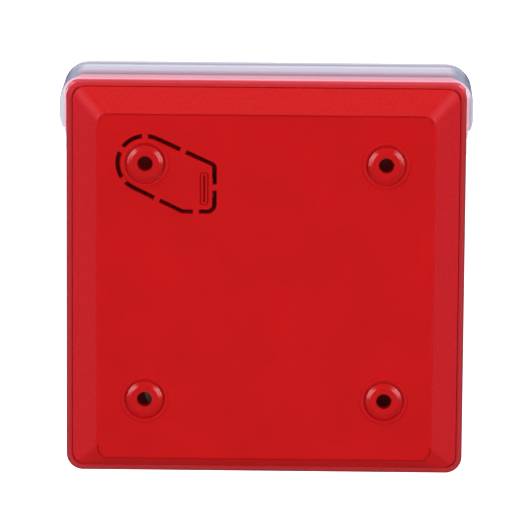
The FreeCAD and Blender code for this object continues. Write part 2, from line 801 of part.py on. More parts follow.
def press_guide():
    """Yellow frame round the press plate; its walls show when the plate is in."""
    frame = slab(guide_half, guide_half, window_corner + guide_wall, web_rear, face_inner - stop_gap)
    frame = frame.cut(slab(window_half, window_half, window_corner, guide_web_front, face_inner))
    ears = []
    for x, z in corners(ear_x, ear_z):
        side = 1 if x > 0 else -1
        inner_x = side * (guide_half - joint_sink)
        ears.append(rod(ear_r, x, z, ear_front - ear_thick, ear_front))
        ears.append(block(min(inner_x, x), max(inner_x, x), ear_front - ear_thick, ear_front,
                          z - ear_r, z + ear_r))
    latch_rear = web_rear - latch_play - latch_thick
    over = latch_rear - latch_play
    for side in (1, -1):
        rail_in = side * (latch_half_x + latch_play)
        rail_out = rail_in + side * latch_rail
        cap_in = rail_in - side * latch_rail_over
        top = latch_top_z
        bottom = guide_wall - guide_half
        cap_rear = over - latch_rail_cap
        ears.append(block(min(rail_in, rail_out), max(rail_in, rail_out), cap_rear, web_rear, bottom, top))
        ears.append(block(min(cap_in, rail_out), max(cap_in, rail_out), cap_rear, over, bottom, top))
    stop_z = latch_top_z + latch_spring_length + contact_play
    ears.append(block(-latch_stop_half, latch_stop_half, over - latch_rail_cap, web_rear, stop_z,
                      stop_z + latch_rail))
    frame = frame.fuse(ears)
    cuts = []
    for x, z in corners(leg_x, leg_z):
        side = 1 if x > 0 else -1
        edges = sorted((x - side * (leg_half_x + leg_play), x + side * (leg_half_x + leg_play)))
        cuts.append(block(edges[0], edges[1], web_rear, guide_web_front,
                          z - leg_half_z - leg_play, z + leg_half_z + leg_play))
    switch_x = alarm_switch_half_x + alarm_window_play
    switch_z = alarm_switch_half_z + alarm_window_play
    cuts.append(block(-switch_x, switch_x, web_rear, guide_web_front, alarm_switch_z - switch_z,
                      alarm_switch_z + switch_z))
    leg_side = latch_leg_half_x + leg_play
    leg_high = latch_leg_half_z + leg_play
    cuts.append(block(-leg_side, leg_side, web_rear, guide_web_front, latch_leg_z - leg_high,
                      latch_leg_z + leg_high))
    spring_room = latch_spring_r + latch_spring_wire + latch_play
    cuts.append(block(-spring_room, spring_room, web_rear, guide_web_front, latch_top_z, stop_z))
    for x, z in corners(ear_x, ear_z):
        cuts.append(rod(small_screw_r + screw_clearance, x, z, 0, case_depth))
    return frame.cut(cuts)


def reset_latch():
    """Sliding plate whose window drops into the notch of the pressed plate's leg."""
    front = web_rear - latch_play
    rear = front - latch_thick
    plate = block(-latch_half_x, latch_half_x, rear, front, latch_bottom_z, latch_top_z)
    leg_low = latch_leg_z - latch_leg_half_z
    leg_high = latch_leg_z + latch_leg_half_z
    side = latch_leg_half_x + leg_play
    window = block(-side, side, rear, front, leg_low - latch_travel - leg_play, leg_high + latch_play)
    plate = plate.cut(window)
    trim = [block(min(x0, x1), max(x0, x1), rear, front, latch_bottom_z, latch_bottom_z + latch_tongue)
            for x0, x1 in ((-latch_half_x, -latch_tongue_half), (latch_tongue_half, latch_half_x))]
    return plate.cut(trim)


def latch_spring():
    front = web_rear - latch_play
    mid = front - latch_thick / 2
    spring = coil(latch_spring_r, latch_spring_wire, latch_spring_length - 2 * latch_spring_wire,
                  latch_spring_turns)
    spring.translate(vec(0, at(mid), latch_top_z + contact_play / 2 + latch_spring_wire))
    return spring


def return_springs():
    """Two springs between the guide's web and the press plate."""
    seat = guide_web_front + contact_play / 2
    top = face_at - press_face - contact_play / 2
    return Part.makeCompound([coil_y(return_spring_r, return_spring_wire, seat, top, return_spring_turns, x, 0)
                              for x in (return_spring_x, -return_spring_x)])


def circuit_board():
    board = slab(board_half_x, board_half_z, board_corner, board_rear, board_front)
    for x, z in corners(board_post_x, board_post_z):
        board = board.cut(rod(small_screw_r + board_hole_play, x, z, 0, case_depth))
    for x, z in corners(case_screw_at, case_screw_at):
        board = board.cut(rod(case_post_r + board_notch_play, x, z, 0, case_depth))
    return board


def cell(x, way):
    """Round lithium cell with its nub up or down."""
    bottom = cell_z - cell_length / 2
    can = Part.makeCylinder(cell_r, cell_length, vec(x, at(cell_depth), bottom), vec(0, 0, 1))
    rims = [edge for edge in can.Edges if abs(edge.Length - 2 * math.pi * cell_r) < 1e-3]
    can = can.makeChamfer(cell_edge_break, rims)
    end_z = cell_z + way * cell_length / 2
    nub = Part.makeCylinder(cell_nub_r, cell_nub, vec(x, at(cell_depth), end_z), vec(0, 0, way))
    return can.fuse(nub)


def contact(x, end_z, way):
    """Sheet-metal contact that stands on the board and bears on a cell's end."""
    rear = cell_depth - cell_r / 2
    z0 = end_z
    z1 = end_z + way * contact_thick
    blade = block(x - contact_half, x + contact_half, rear, board_rear, min(z0, z1), max(z0, z1))
    foot = block(x - contact_half, x + contact_half, board_rear - contact_thick, board_rear,
                 min(z0, z0 + way * contact_foot), max(z0, z0 + way * contact_foot))
    return blade.fuse(foot)


def battery_contacts():
    reach = cell_length / 2
    plates = []
    for x, way in ((cell_left_x, 1), (cell_right_x, -1)):
        plates.append(contact(x, cell_z + way * (reach + cell_nub + contact_play), way))
        plates.append(contact(x, cell_z - way * (reach + contact_play), -way))
    return Part.makeCompound(plates)


def push_switch(x, z):
    """Small square push switch on the rear of the board."""
    body_rear = board_rear - switch_height
    body = block(x - switch_half, x + switch_half, body_rear, board_rear, z - switch_half, z + switch_half)
    return body.fuse(rod(switch_button_r, x, z, body_rear - switch_button, body_rear))


def alarm_switch():
    """Snap switch on the front of the board, pressed by the plate's rib."""
    top = board_front + alarm_switch_height
    body = block(-alarm_switch_half_x, alarm_switch_half_x, board_front, top,
                 alarm_switch_z - alarm_switch_half_z, alarm_switch_z + alarm_switch_half_z)
    for x in (-alarm_switch_hole_x, alarm_switch_hole_x):
        hole = Part.makeCylinder(alarm_switch_hole_r, 2 * alarm_switch_half_z,
                                 vec(x, at(board_front + alarm_switch_hole_height),
                                     alarm_switch_z - alarm_switch_half_z), vec(0, 0, 1))
        body = body.cut(hole)
    return body.fuse(block(-alarm_plunger_half_x, alarm_plunger_half_x, top, top + alarm_plunger,
                           alarm_switch_z - alarm_plunger_half_z, alarm_switch_z + alarm_plunger_half_z))


def plunger(x, z, tip_depth, tip_r, flange_r, stem_end):
    """Button that comes out of the rear cover, with a flange inside it and a stem."""
    flange_rear = plate_front + stop_gap
    tip = rod(tip_r, x, z, tip_depth, flange_rear + tamper_flange)
    tip = tip.makeChamfer(tamper_edge_break, edges_at_round(tip, tip_depth))
    flange = rod(flange_r, x, z, flange_rear, flange_rear + tamper_flange)
    stem = rod(tamper_stem_r, x, z, flange_rear, stem_end)
    return tip.fuse([flange, stem])


def edges_at_round(shape, depth):
    """Edges of a turned piece in the plane at a depth."""
    return [edge for edge in shape.Edges
            if abs(edge.BoundBox.YMin - at(depth)) < 1e-6 and abs(edge.BoundBox.YMax - at(depth)) < 1e-6]


def tamper_button():
    tip = -(post_end_height - stop_gap)
    end = board_rear - switch_height - switch_button - tamper_travel - button_clearance
    return plunger(pad_x, pad_z, tip, tamper_tip_r, tamper_flange_r, end)


def power_button():
    end = board_rear - switch_height - switch_button - power_travel - button_clearance
    return plunger(power_x, power_z, power_sink, power_r, power_r + power_flange_over, end)


def tamper_spring():
    """Spring between the plunger's flange and the switch under it."""
    rear = plate_front + stop_gap + tamper_flange + contact_play / 2
    front = board_rear - switch_height - contact_play / 2
    return coil_y(tamper_spring_r, tamper_spring_wire, rear, front, tamper_spring_turns, pad_x, pad_z)


def light_pipe():
    """Clear rod that brings the lamp's light to the face."""
    start = board_front + led_height + pipe_gap
    pipe = rod(pipe_r, 0, pipe_z, start, case_depth + pipe_stand)
    collar = rod(pipe_r + pipe_collar, 0, pipe_z, face_inner - pipe_collar_length, face_inner - stop_gap)
    return pipe.fuse(collar)


def status_lamp():
    return block(-led_half, led_half, board_front, board_front + led_height,
                 pipe_z - led_half, pipe_z + led_half)


def radio_shield():
    """Drawn steel can over the radio, open to the board."""
    top = board_front + shield_height
    can = slab(shield_half_x, shield_half_z, shield_corner, board_front, top, shield_x, shield_z)
    hollow = slab(shield_half_x - shield_wall, shield_half_z - shield_wall, shield_corner - shield_wall,
                  board_front, top - shield_wall, shield_x, shield_z)
    return can.cut(hollow)


def aerial():
    """Flat strip that stands on two legs in front of the board."""
    x0 = aerial_x1 - aerial_length
    top = board_front + aerial_height
    z0 = aerial_z - aerial_width / 2
    z1 = aerial_z + aerial_width / 2
    strip = block(x0, aerial_x1, top - aerial_thick, top, z0, z1)
    legs = [block(x, x + aerial_thick, board_front, top, z0, z1) for x in (x0, x0 + aerial_leg_step)]
    return strip.fuse(legs)


def main():
    os.makedirs("parts", exist_ok=True)
    save("mounting_panel", mounting_panel())
    save("front_case", front_case())
    save("rear_case", rear_case())
    save("case_screws", screws(corners(case_screw_at, case_screw_at), plate_rear + small_head,
                               case_screw_length, case_head_r, 1))
    save("protective_flap", protective_flap())
    save("press_plate", press_plate())
    save("press_guide", press_guide())
    save("guide_screws", screws(corners(ear_x, ear_z), ear_front - ear_thick, guide_screw_length,
                                small_head_r, 1))
    save("return_springs", return_springs())
    save("reset_latch", reset_latch())
    save("latch_spring", latch_spring())
    save("circuit_board", circuit_board())
    save("board_screws", screws(corners(board_post_x, board_post_z), board_front, small_screw_length,
                                small_head_r, -1))
    save("battery_left", cell(cell_left_x, 1))
    save("battery_right", cell(cell_right_x, -1))
    save("battery_contacts", battery_contacts())
    save("alarm_switch", alarm_switch())
    save("tamper_switch", push_switch(pad_x, pad_z))
    save("power_switch", push_switch(power_x, power_z))
    save("tamper_button", tamper_button())
    save("tamper_spring", tamper_spring())
    save("power_button", power_button())
    save("light_pipe", light_pipe())
    save("status_lamp", status_lamp())
    save("radio_shield", radio_shield())
    save("aerial_strip", aerial())


main()
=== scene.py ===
"""Finishes, face marks and studio for a wall-mounted fire alarm call point, seen from its wall side."""
import json
import math

import bmesh
import bpy
from mathutils import Matrix, Vector


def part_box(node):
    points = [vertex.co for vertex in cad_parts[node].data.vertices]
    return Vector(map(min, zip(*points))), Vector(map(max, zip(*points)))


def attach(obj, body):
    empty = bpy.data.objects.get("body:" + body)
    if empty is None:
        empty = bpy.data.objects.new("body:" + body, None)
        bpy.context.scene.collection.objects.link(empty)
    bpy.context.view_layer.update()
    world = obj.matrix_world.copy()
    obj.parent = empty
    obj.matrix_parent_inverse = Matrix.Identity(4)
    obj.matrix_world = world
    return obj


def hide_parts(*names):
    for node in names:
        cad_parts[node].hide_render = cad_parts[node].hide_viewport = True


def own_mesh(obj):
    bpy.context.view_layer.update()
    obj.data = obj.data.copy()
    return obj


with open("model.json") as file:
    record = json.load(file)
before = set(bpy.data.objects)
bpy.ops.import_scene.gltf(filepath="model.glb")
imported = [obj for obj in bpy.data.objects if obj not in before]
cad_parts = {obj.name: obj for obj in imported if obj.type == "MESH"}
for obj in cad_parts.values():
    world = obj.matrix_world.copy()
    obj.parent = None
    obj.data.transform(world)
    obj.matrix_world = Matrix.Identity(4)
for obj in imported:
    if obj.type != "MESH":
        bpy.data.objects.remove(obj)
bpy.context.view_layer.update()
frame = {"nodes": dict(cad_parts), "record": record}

bl_info = {
    "name": "Fire alarm call point",
    "version": (1, 0, 0),
    "blender": (4, 5, 0),
    "location": "3D View > Sidebar > Call Point",
    "description": "Finishes the pieces of a fire alarm call point and lights it in a plain studio",
    "category": "Object",
}

MM = 0.001
NODES = frame["nodes"]
JOINTS = {joint["name"]: joint for joint in frame["record"]["behaviour"]["joints"]}
MOUNTS = {mount["name"]: mount for mount in frame["record"]["mounts"]}
SPRINGS = {"return_springs": "press_slide", "latch_spring": "latch_slide", "tamper_spring": "tamper_slide"}

# Mounting panel; the flat's edge is where the grain begins and ends along Y
SCREW_AT_MM = MOUNTS["wall_screws"]["dims"]["spacing_x_mm"] / 2
BOSS_RADIUS_MM = 4.15
DOME_RADII_MM = (3.1, 3.525, 3.95)
DOME_HEIGHTS_MM = (-0.1275, 0.11)
BEVEL_SIDE_MM = 5.55
BEVEL_TOP_MM = 5.1
SIDE_GROOVE_MM = 0.35
FLAT_EDGE_MM = (-0.75, -0.66)
PANEL_CORNER_MM = 2.9

# Case and clear flap; the flap's wall is given outwards from the case's side
CASE_CORNER_MM = 3.7
RIM_WIDTH_MM = 1.25
HINGE_UP_MM = JOINTS["flap_hinge"]["pos_m"][2] / MM
HINGE_DEPTH_MM = (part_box("front_case")[1][1] - JOINTS["flap_hinge"]["pos_m"][1]) / MM
HINGE_HOLE_MM = 0.55
HINGE_HOLE_FROM_MM = 41.0
PIN_RADIUS_MM = 0.5
PIN_ROOT_MM = 0.5
FLAP_WALL_MM = (0.2, 1.4)
FLAP_INNER_HALF_MM = 44.3
FLAP_INNER_CORNER_MM = 3.2

# Finishes; a body is how much of clear plastic shows, and a glow is the strength of painted light that a face
# gives off
CLEAR_IOR = 1.49
HOOD_BEND_MM = (17.5, 22.0)
REAR_HOOD_BODY = 0.88
FRONT_HOOD_BODY = 0.2
EAR_BODY = 0.16
END_BODY = 0.93
INNER_FACE_BODY = 0.8
END_GLOW = 0.32
INNER_FACE_GLOW = 0.5
HINGE_HOLE_GLOW = 0.6
CASE_GAP_GLOW = 0.1
PANEL_GAP_GLOW = 0.1
SIDE_GROOVE_GLOW = 0.17
# Painted red light given off in the gaps, and the painted paler red of the panel's side bevels
PAINTED_GAP_LIGHT_RED = (1.0, 0.015, 0.02, 1)
PAINTED_SIDE_LIGHT_RED = (0.70, 0.0130, 0.021)

# Studio; each light has its power's name, its place and its size in metres
FLOOR_REACH = 6.0
LIGHTS = {
    "key_left": ("key_power", (0.74, 0.75, 0.28), (0.3, 0.75)),
    "key_right": ("key_power", (-0.74, 0.75, 0.28), (0.3, 0.75)),
    "front": ("front_power", (0.7, -0.9, 0.1), (0.35, 0.35)),
    "top": ("top_power", (0, 0.15, 0.9), (0.9, 0.5)),
}


def srgb(red, green, blue):
    """Linear colour from the 0 to 255 values that a screen shows."""
    def channel(value):
        share = value / 255
        return share / 12.92 if share <= 0.04045 else ((share + 0.055) / 1.055) ** 2.4
    return (channel(red), channel(green), channel(blue))


def colour_property(name, description, default):
    return bpy.props.FloatVectorProperty(name=name, description=description, default=default, size=3,
                                         min=0.0, max=1.0, subtype="COLOR")


def length_property(name, description, default_mm):
    return bpy.props.FloatProperty(name=name, description=description, default=default_mm * MM,
                                   unit="LENGTH", subtype="DISTANCE", precision=5)


class CallPointFinish(bpy.types.PropertyGroup):
    """Colours and grain of the moulded pieces."""
    panel_colour: colour_property("Panel", "Red of the mounting panel", srgb(211, 17, 21))
    case_colour: colour_property("Case", "Red of the front and rear case", srgb(211, 26, 36))
    flap_colour: colour_property("Flap", "Tint of the clear flap", srgb(226, 219, 252))
    press_colour: colour_property("Press plate", "White of the press plate", srgb(236, 236, 232))
    guide_colour: colour_property("Guide", "Yellow of the guide round the press plate", srgb(240, 200, 30))
    grain_size: length_property("Grain", "Size of the eroded grain on the bevels", 0.42)
    grain_depth: bpy.props.FloatProperty(name="Grain depth", description="Strength of the grain's bump",
                                         default=0.35, min=0.0, max=1.0, subtype="FACTOR")


class CallPointMarks(bpy.types.PropertyGroup):
    """Generic arrows and dot on the press plate."""
    dot_radius: length_property("Dot", "Radius of the dot in the middle", 5.0)
    arrow_width: length_property("Arrow width", "Width of an arrow's head", 11.0)
    arrow_length: length_property("Arrow length", "Length of an arrow's head", 6.5)
    arrow_reach: length_property("Arrow reach", "Distance of an arrow's tip from the middle", 7.5)
    thickness: length_property("Thickness", "Height of the marks above the plate", 0.04)


class CallPointStudio(bpy.types.PropertyGroup):
    """Camera and light."""
    elevation: bpy.props.FloatProperty(name="Elevation", description="Height angle of the camera",
                                       default=math.radians(11.55), subtype="ANGLE")
    azimuth: bpy.props.FloatProperty(name="Azimuth", description="Turn of the camera from straight behind",
                                     default=math.radians(-0.76), subtype="ANGLE")
    roll: bpy.props.FloatProperty(name="Roll", description="Tilt of the picture", default=math.radians(0.41),
                                  subtype="ANGLE")
    distance: length_property("Distance", "Camera to the middle of the case's rim", 1096.2)
    rise: length_property("Aim", "Height of the aimed point over the rim's middle", 2.875)
    aside: length_property("Aim aside", "Distance of the aimed point to the right of the rim's middle", -0.06)
    lens: bpy.props.FloatProperty(name="Lens", description="Focal length in millimetres", default=336.08)
    key_power: bpy.props.FloatProperty(name="Key light", description="Power of each of the two soft lights",
                                       default=3.2, unit="POWER")
    top_power: bpy.props.FloatProperty(name="Top light", description="Power of the soft light overhead",
                                       default=3.0, unit="POWER")
    front_power: bpy.props.FloatProperty(name="Front light", default=3.0, unit="POWER",
                                         description="Power of the soft light on the press plate's side")
    world_light: bpy.props.FloatProperty(name="Surround", description="Strength of the even light all round",
                                         default=0.35, min=0.0)
    dim_side: bpy.props.FloatProperty(name="Dim side", description="What gloss sees on the wall side",
                                      default=0.05, min=0.0)
    floor_drop: length_property("Floor", "Distance from the case's underside down to the floor", 60.0)


def new_material(name):
    """A material with its node tree and its main shader."""
    material = bpy.data.materials.new(name)
    material.use_nodes = True
    tree = material.node_tree
    shader = tree.nodes["Principled BSDF"]
    return material, tree, shader


def add_node(tree, kind, inputs=None, **settings):
    """Adds a node, sets its properties, and sets or links its inputs."""
    node = tree.nodes.new(kind)
    for key, value in settings.items():
        setattr(node, key, value)
    for key, value in (inputs or {}).items():
        if isinstance(value, bpy.types.NodeSocket):
            tree.links.new(value, node.inputs[key])
        else:
            node.inputs[key].default_value = value
    return node


def object_place(tree):
    return add_node(tree, "ShaderNodeTexCoord").outputs["Object"]


def noise(tree, place, size, detail=3.0, roughness=0.5):
    """Noise whose cells are about one size across."""
    node = add_node(tree, "ShaderNodeTexNoise", {"Vector": place, "Scale": 1.0 / size, "Detail": detail,
                                                 "Roughness": roughness})
    return node.outputs["Fac"]


def spread(tree, value, low, high, start=0.3, end=0.7):
    """A value's middle stretch carried onto another range."""
    node = add_node(tree, "ShaderNodeMapRange", {"Value": value, "From Min": start, "From Max": end,
                                                 "To Min": low, "To Max": high})
    return node.outputs["Result"]


def calc(tree, operation, *values):
    """Result of a maths node whose inputs are numbers or other nodes' results."""
    return add_node(tree, "ShaderNodeMath", dict(enumerate(values)), operation=operation).outputs[0]


def blended(tree, factor, first, second):
    """Colour between two, each a plain colour or another node's result."""
    node = add_node(tree, "ShaderNodeMix", data_type="RGBA")
    tree.links.new(factor, node.inputs["Factor"])
    for slot, colour in ((6, first), (7, second)):
        if isinstance(colour, bpy.types.NodeSocket):
            tree.links.new(colour, node.inputs[slot])
        else:
            node.inputs[slot].default_value = (*colour, 1)
    return node.outputs[2]


def blended_value(tree, factor, first, second):
    """Number between two, each a plain number or another node's result."""
    node = add_node(tree, "ShaderNodeMix", {0: factor, 2: first, 3: second}, data_type="FLOAT")
    return node.outputs[0]


def stops(tree, value, *places):
    """Colour ramp with a stop at each (place, colour)."""
    ramp = add_node(tree, "ShaderNodeValToRGB", {"Fac": value})
    elements = ramp.color_ramp.elements
    while len(elements) < len(places):
        elements.new(0.5)
    for element, (place, colour) in zip(elements, places):
        element.position = place
        element.color = (*colour, 1)
    return ramp.outputs["Color"]


def away_from_middle(tree, place):
    """Distances in millimetres sideways and up or down from the product's middle."""
    axes = add_node(tree, "ShaderNodeSeparateXYZ", {"Vector": place})
    return [calc(tree, "MULTIPLY", calc(tree, "ABSOLUTE", axes.outputs[axis]), 1 / MM) for axis in "XZ"]


def hypotenuse(tree, first, second):
    """Distance whose parts along two axes are given."""
    squares = [calc(tree, "MULTIPLY", part, part) for part in (first, second)]
    return calc(tree, "SQRT", calc(tree, "ADD", *squares))


def out_from_square(tree, place, half_mm, corner_mm):
    """How far a point lies outside a rounded square in millimetres, and its share of side against top."""
    inner = half_mm - corner_mm
    aside, above = [calc(tree, "MAXIMUM", calc(tree, "SUBTRACT", away, inner), 0.0)
                    for away in away_from_middle(tree, place)]
    out = calc(tree, "SUBTRACT", hypotenuse(tree, aside, above), corner_mm)
    side = calc(tree, "DIVIDE", aside, calc(tree, "MAXIMUM", calc(tree, "ADD", aside, above), 0.001))
    return out, side


def out_from_case(tree, place):
    """How far a point lies outside the case's side, and its share of side against top."""
    return out_from_square(tree, place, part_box("front_case")[1][0] / MM, CASE_CORNER_MM)


def depth_from_rim(tree, place):
    """Distance in millimetres from the case's rear rim towards the press plate."""
    back = add_node(tree, "ShaderNodeSeparateXYZ", {"Vector": place}).outputs["Y"]
    return calc(tree, "SUBTRACT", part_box("front_case")[1][1] / MM, calc(tree, "MULTIPLY", back, 1 / MM))


def away_from_hinge(tree, up, depth):
    """A point's distance in millimetres from the flap's hinge axis."""
    above = calc(tree, "SUBTRACT", calc(tree, "MULTIPLY", up, 1 / MM), HINGE_UP_MM)
    return hypotenuse(tree, above, calc(tree, "SUBTRACT", depth, HINGE_DEPTH_MM))


def scaled(colour, factor):
    return tuple(min(1.0, part * factor) for part in colour)


def mottled(tree, share, colour, dark, light):
    """A colour that goes from a darker to a lighter shade of itself with a share from 0 to 1."""
    return stops(tree, share, (0.0, scaled(colour, dark)), (1.0, scaled(colour, light)))


def bump(tree, shader, height, strength, distance):
    """Lets a height shape the shader's highlights, and gives the node for another bump to join."""
    node = add_node(tree, "ShaderNodeBump", {"Height": height, "Strength": strength, "Distance": distance})
    tree.links.new(node.outputs["Normal"], shader.inputs["Normal"])
    return node


def moulding(name, colour, grain, depth, rough=0.42, vary=0.05):
    """Moulded plastic: fine grain, faint cloudiness and a slightly uneven sheen."""
    material, tree, shader = new_material(name)
    place = object_place(tree)
    cloud = spread(tree, noise(tree, place, 9 * MM, 2.0), 0, 1)
    tree.links.new(mottled(tree, cloud, colour, 1 - vary, 1 + vary), shader.inputs["Base Color"])
    tree.links.new(spread(tree, noise(tree, place, 3 * MM), rough - 0.04, rough + 0.04),
                   shader.inputs["Roughness"])
    bump(tree, shader, noise(tree, place, grain, 2.0), depth, 0.05 * MM)
    return material


def panel_colour(tree, place, finish, bevel, past_side, past_end, past_top):
    """Panel reds with a painted mitre highlight, and the mask of painted paler light on the side bevels."""
    colour = tuple(finish.panel_colour)
    cloud = spread(tree, noise(tree, place, 14 * MM, 2.0), 0, 1)
    grain = spread(tree, noise(tree, place, finish.grain_size, 3.0, 0.6), 0, 1)
    flat_red = mottled(tree, cloud, colour, 0.95, 1.04)
    red = blended(tree, bevel, flat_red, mottled(tree, grain, colour, 0.88, 1.16))
    from_mitre = calc(tree, "SUBTRACT", past_side, past_end)
    # Painted light: a paler, pinker red on the side bevels where the side lights fall
    painted_side_light = calc(tree, "MULTIPLY", spread(tree, from_mitre, 0, 1, 0, 0.4), bevel)
    red = blended(tree, painted_side_light, red, mottled(tree, grain, PAINTED_SIDE_LIGHT_RED, 0.9, 1.12))
    # Painted highlight along the upper mitres
    off_upper_mitre = calc(tree, "ABSOLUTE", calc(tree, "SUBTRACT", past_side, past_top))
    sheen = calc(tree, "MULTIPLY", spread(tree, off_upper_mitre, 0.5, 0, 0.2, 2.0), bevel)
    return blended(tree, sheen, red, srgb(226, 66, 74)), painted_side_light


def dome_height(tree, from_hole):
    """Height of a screw boss's rounded crest over its hole and its foot."""
    inner, crest, foot = DOME_RADII_MM
    inner_fall, outer_rise = DOME_HEIGHTS_MM
    return calc(tree, "ADD", spread(tree, from_hole, 0, inner_fall * MM, inner, crest),
                spread(tree, from_hole, 0, outer_rise * MM, crest, foot))


def panel_moulding(name, finish):
    """The panel's plastic: smooth flat, glossier bosses, grain below the flat, and painted red light in its
    gaps.
    """
    material, tree, shader = new_material(name)
    place = object_place(tree)
    axes = add_node(tree, "ShaderNodeSeparateXYZ", {"Vector": place}).outputs
    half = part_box("mounting_panel")[1][0] / MM
    sideways, upward = away_from_middle(tree, place)
    up = calc(tree, "MULTIPLY", axes["Z"], 1 / MM)
    past_side = calc(tree, "SUBTRACT", sideways, half - BEVEL_SIDE_MM)
    past_end, past_top = [calc(tree, "SUBTRACT", value, half - BEVEL_TOP_MM) for value in (upward, up)]
    bevel = spread(tree, axes["Y"], 1, 0, *[edge * MM for edge in FLAT_EDGE_MM])
    red, painted_side_light = panel_colour(tree, place, finish, bevel, past_side, past_end, past_top)
    tree.links.new(red, shader.inputs["Base Color"])
    from_hole = hypotenuse(tree, *[calc(tree, "SUBTRACT", away, SCREW_AT_MM) for away in (sideways, upward)])
    boss = spread(tree, from_hole, 1, 0, BOSS_RADIUS_MM - 0.05, BOSS_RADIUS_MM + 0.05)
    rough = calc(tree, "SUBTRACT", spread(tree, bevel, 0.4, 0.5, 0, 1), calc(tree, "MULTIPLY", boss, 0.2))
    tree.links.new(rough, shader.inputs["Roughness"])
    tree.links.new(spread(tree, boss, 0.12, 0.48, 0, 1), shader.inputs["Specular IOR Level"])
    fine = noise(tree, place, 0.6 * finish.grain_size, 2.0)
    strength = spread(tree, bevel, 0.12 * finish.grain_depth, finish.grain_depth, 0, 1)
    grained = bump(tree, shader, calc(tree, "MULTIPLY", fine, strength), 1.0, 0.06 * MM)
    domed = add_node(tree, "ShaderNodeBump", {"Height": dome_height(tree, from_hole), "Strength": 1.0,
                                              "Distance": 1.0})
    tree.links.new(domed.outputs["Normal"], grained.inputs["Normal"])
    out, _ = out_from_square(tree, place, half, PANEL_CORNER_MM)
    # Painted red light in the side grooves and in the gap at the panel's edge, where shade falls
    from_groove = calc(tree, "ABSOLUTE", calc(tree, "ADD", past_side, SIDE_GROOVE_MM / 2))
    groove = calc(tree, "MULTIPLY", spread(tree, from_groove, SIDE_GROOVE_GLOW, 0, 0.17, 0.2), painted_side_light)
    glow = calc(tree, "MAXIMUM", groove, spread(tree, out, 0, PANEL_GAP_GLOW, -0.05, -0.02))
    tree.links.new(glow, shader.inputs["Emission Strength"])
    shader.inputs["Emission Color"].default_value = PAINTED_GAP_LIGHT_RED
    return material


def case_moulding(name, finish):
    """Case plastic: painted shade on its outer edge, painted light on its top rim, painted red light in gaps
    and holes.
    """
    plain = tuple(finish.case_colour)
    material = moulding(name, plain, finish.grain_size, finish.grain_depth)
    tree = material.node_tree
    shader = tree.nodes["Principled BSDF"]
    place = object_place(tree)
    out, side = out_from_case(tree, place)
    depth = depth_from_rim(tree, place)
    up = add_node(tree, "ShaderNodeSeparateXYZ", {"Vector": place}).outputs["Z"]
    # Painted light on the top rim where the flap lets light through, and painted shade on the outer edge
    # elsewhere
    edge = spread(tree, out, 0, 1, -1.0, 0.0)
    top = stops(tree, edge, (0.0, srgb(228, 32, 42)), (0.5, srgb(212, 44, 54)), (0.85, srgb(212, 76, 90)),
                (1.0, srgb(250, 150, 162)))
    rest = stops(tree, edge, (0.0, plain), (0.5, srgb(200, 40, 49)), (0.75, srgb(182, 48, 57)),
                 (1.0, srgb(156, 62, 71)))
    upper = calc(tree, "MULTIPLY", spread(tree, up, 0, 1, 0.0, MM), spread(tree, side, 1, 0, 0.6, 0.95))
    painted_rim_light_and_shade = blended(tree, upper, rest, top)
    base = shader.inputs["Base Color"].links[0].from_socket
    near_rim = spread(tree, depth, 1, 0, 1.5, 3.0)
    tree.links.new(blended(tree, near_rim, base, painted_rim_light_and_shade), shader.inputs["Base Color"])
    # Painted red light in the gap behind the panel and in the flap's hinge holes, where shade falls
    from_gap = calc(tree, "ABSOLUTE", calc(tree, "ADD", out, RIM_WIDTH_MM))
    gap = calc(tree, "MULTIPLY", spread(tree, from_gap, CASE_GAP_GLOW, 0, 0.02, 0.05),
               spread(tree, depth, 1, 0, 4, 7))
    sideways, _ = away_from_middle(tree, place)
    from_hinge = away_from_hinge(tree, up, depth)
    in_hole = spread(tree, from_hinge, HINGE_HOLE_GLOW, 0, HINGE_HOLE_MM + 0.007, HINGE_HOLE_MM + 0.033)
    hole = calc(tree, "MULTIPLY", in_hole,
                spread(tree, sideways, 0, 1, HINGE_HOLE_FROM_MM - 0.2, HINGE_HOLE_FROM_MM + 0.2))
    tree.links.new(calc(tree, "MAXIMUM", gap, hole), shader.inputs["Emission Strength"])
    shader.inputs["Emission Color"].default_value = PAINTED_GAP_LIGHT_RED
    return material


def clear_moulding(name, colour, body, rough=0.05):
    """Clear plastic: a tinted see-through skin with faint flow waves; body is how much of it shows."""
    material, tree, shader = new_material(name)
    shader.inputs["Base Color"].default_value = (*colour, 1)
    shader.inputs["IOR"].default_value = CLEAR_IOR
    shader.inputs["Alpha"].default_value = body
    place = object_place(tree)
    tree.links.new(spread(tree, noise(tree, place, 2 * MM), rough * 0.6, rough * 1.6),
                   shader.inputs["Roughness"])
    bump(tree, shader, noise(tree, place, 12 * MM, 1.0), 0.08, 0.1 * MM)
    return material


